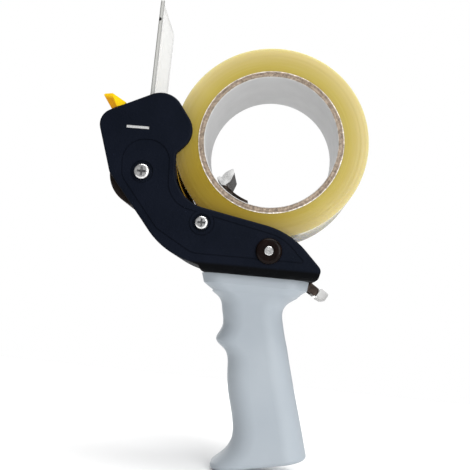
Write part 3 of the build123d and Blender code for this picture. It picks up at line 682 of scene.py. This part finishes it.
def leading_strip():
    """The loose end of the film: off the roll's lower left with a little slack, up into the nip between
    roll and roller, and over the roller to where it was last cut. The slack hangs mostly at the near edge."""
    film = 0.12 * MM
    clear_of_roll = 0.15 * MM
    roller_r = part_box("roller_sleeve")[1].z - roller_centre.z
    over_roller = roller_r + 0.08 * MM
    slack = 3.0 * MM
    leaves_roll, meets_roller, roll_steps = math.radians(258.0), math.radians(200.5), 40
    nip_angle, roller_turn, roller_steps = math.radians(22.0), math.radians(150.0), 60

    # Each row of the path holds the near and the far edge as (x, z)
    path = []
    for k in range(roll_steps + 1):
        part = k / roll_steps
        turn = leaves_roll + (meets_roller - leaves_roll) * part
        spare = slack * math.sin(math.pi * part) ** 0.8
        near, far = TAPE_R + clear_of_roll + spare, TAPE_R + clear_of_roll + 0.1 * spare
        path.append([around(roll_centre, near, turn), around(roll_centre, far, turn)])
    for k in range(roller_steps + 1):
        point = around(roller_centre, over_roller, nip_angle + roller_turn * k / roller_steps)
        path.append([point, point])

    mesh = bmesh.new()
    rings = []
    for k, edges in enumerate(path):
        pairs = []
        for (x, z), side, y in zip(edges, (0, 1), (roll_low.y, roll_high.y)):
            before = path[max(k - 1, 0)][side]
            after = path[min(k + 1, len(path) - 1)][side]
            ahead = Vector((after[0] - before[0], 0.0, after[1] - before[1])).normalized()
            out = Vector((-ahead.z, 0.0, ahead.x)) * film / 2
            place = Vector((x, y, z))
            pairs.append((mesh.verts.new(place - out), mesh.verts.new(place + out)))
        (inner_near, outer_near), (inner_far, outer_far) = pairs
        rings.append((inner_near, inner_far, outer_far, outer_near))
    skin(mesh, rings)
    strip = finished("leading_strip", mesh)
    smooth(strip, 50)

    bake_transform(strip)
    paint(strip, strip_film())


def spring(name, node, centre, radius, wire, start, pitch, turns, leg_foot):
    """Helical spring about Y from y = start, with one straight leg down to leg_foot."""
    steps = 40
    path = [
        Vector((centre.x - radius, start, leg_foot)),
        Vector((centre.x - radius, start, centre.z - 0.5 * MM)),
    ]
    for k in range(int(steps * turns) + 1):
        x, z = around(centre, radius, math.pi - 2 * math.pi * k / steps)
        path.append(Vector((x, start + pitch * k / steps, z)))
    coil = sweep_wire(name, path, wire)
    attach(coil, "housing")
    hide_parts(node)
    paint(coil, spring_steel())


def springs():
    """The lever's torsion spring on its pivot, and the small one on the flap's rod."""
    lever_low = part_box("lever_spring")[0]
    flap_spring_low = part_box("flap_spring")[0]
    spring(
        "brake_spring", "lever_spring", middle("pivot_pin"), 6.0 * MM, wire=0.65 * MM,
        start=lever_low.y + 0.7 * MM, pitch=1.45 * MM, turns=4.1, leg_foot=lever_low.z,
    )
    spring(
        "flap_return_spring", "flap_spring", rod, 2.5 * MM, wire=0.42 * MM,
        start=flap_spring_low.y + 0.45 * MM, pitch=0.86 * MM, turns=2.8, leg_foot=rod.z - 2.4 * MM,
    )


def finish_cad_nodes():
    """Materials for the CAD nodes that are shown as they are."""
    black = moulded_black()
    grey = grip_grey()
    zinc = bright_zinc()
    nickel = lever_nickel()
    sheet = sheet_steel()
    painted_shade = shaded_lever_steel()
    brown = cap_brown()
    nylon = plain_plastic("nylon", (0.62, 0.60, 0.55), (0.74, 0.72, 0.67), 0.45)
    looks = {
        "near_shell": black, "far_shell": black,
        "grip_half_near": grey, "grip_half_far": grey,
        "grip_screws": zinc, "roller_axle": zinc, "body_bolt": zinc, "shaft_nuts": zinc,
        "pivot_pin": zinc, "blade_rivets": zinc, "flap_rod": zinc,
        "body_spacer": nylon, "roller_bushes": nylon,
        "pivot_cap_near": brown, "pivot_cap_far": brown,
        "blade_carrier": sheet, "blade": blade_steel(),
        "roller_sleeve": roller_rubber(),
        "roller_hub": plain_plastic("hub_plastic", (0.020, 0.020, 0.022), (0.034, 0.034, 0.036), 0.5),
        # The lever's shoe and tail take the steel painted dark as in shade
        "lever_arm": nickel, "lever_shoe": painted_shade, "lever_barrel": nickel, "lever_tail": painted_shade,
        "thumb_bar": nickel, "blade_guard": guard_yellow(),
    }
    for name, finish in looks.items():
        paint(nodes[name], finish)


# ---------------------------------------------------------------- stage

WHITE = (1.0, 1.0, 1.0, 1.0)
FLOOR_HALF = 0.45
FLOOR_GAP = 0.5 * MM
LIT_POINT = Vector((-0.02, 0.0, 0.09))
CAMERA_PLACE = Vector((0.0015, -0.38135, 0.0347))
CAMERA_FORWARD = Vector((-0.0560, 0.9917, 0.1158))
CAMERA_UP = Vector((-0.0898, -0.1205, 0.9887))


def stage():
    """Plain pale floor, soft lights and a camera that sees the near side from a little below."""
    scene = bpy.context.scene
    scene.view_settings.view_transform = "Standard"

    floor_mesh = bpy.data.meshes.new("floor")
    level = cad_box[0][2] - FLOOR_GAP
    corners = [(x * FLOOR_HALF, y * FLOOR_HALF, level) for x, y in ((-1, -1), (1, -1), (1, 1), (-1, 1))]
    floor_mesh.from_pydata(corners, [], [(0, 1, 2, 3)])
    floor = new_object("floor", floor_mesh)
    paint(floor, Finish("floor", (0.93, 0.93, 0.93), 0.9, Specular_IOR_Level=0.0))

    world = bpy.data.worlds.new("studio")
    scene.world = world
    world.use_nodes = True
    tree = world.node_tree
    light = tree.nodes["Background"]
    light.inputs["Color"].default_value = WHITE
    light.inputs["Strength"].default_value = 0.35
    backdrop = tree.nodes.new("ShaderNodeBackground")
    backdrop.inputs["Color"].default_value = WHITE
    seen = tree.nodes.new("ShaderNodeLightPath")
    choose = tree.nodes.new("ShaderNodeMixShader")
    tree.links.new(seen.outputs["Is Camera Ray"], choose.inputs[0])
    tree.links.new(light.outputs[0], choose.inputs[1])
    tree.links.new(backdrop.outputs[0], choose.inputs[2])
    tree.links.new(choose.outputs[0], tree.nodes["World Output"].inputs["Surface"])

    for name, place, size, watts in (
        ("key", (0.6, -0.9, 0.35), 0.7, 9.0),
        ("back", (-0.4, 0.9, 0.5), 1.0, 7.0),
        ("top", (0.1, -0.1, 1.2), 0.9, 12.0),
    ):
        lamp = bpy.data.lights.new(name, "AREA")
        lamp.energy = watts
        lamp.size = size
        holder = bpy.data.objects.new(name, lamp)
        scene.collection.objects.link(holder)
        holder.location = place
        holder.rotation_euler = (LIT_POINT - Vector(place)).to_track_quat("-Z", "Y").to_euler()

    lens = bpy.data.cameras.new("camera")
    lens.sensor_width = 36.0
    lens.lens = 48.93
    lens.clip_start = 0.01
    camera = bpy.data.objects.new("camera", lens)
    scene.collection.objects.link(camera)
    forward = CAMERA_FORWARD.normalized()
    right = forward.cross(CAMERA_UP).normalized()
    up = right.cross(forward)
    facing = Matrix((right, up, -forward)).transposed().to_4x4()
    camera.matrix_world = Matrix.Translation(CAMERA_PLACE) @ facing
    scene.camera = camera


finish_cad_nodes()
tape_windings()
tape_core()
smoothing_flap()
springs()
leading_strip()
stage()
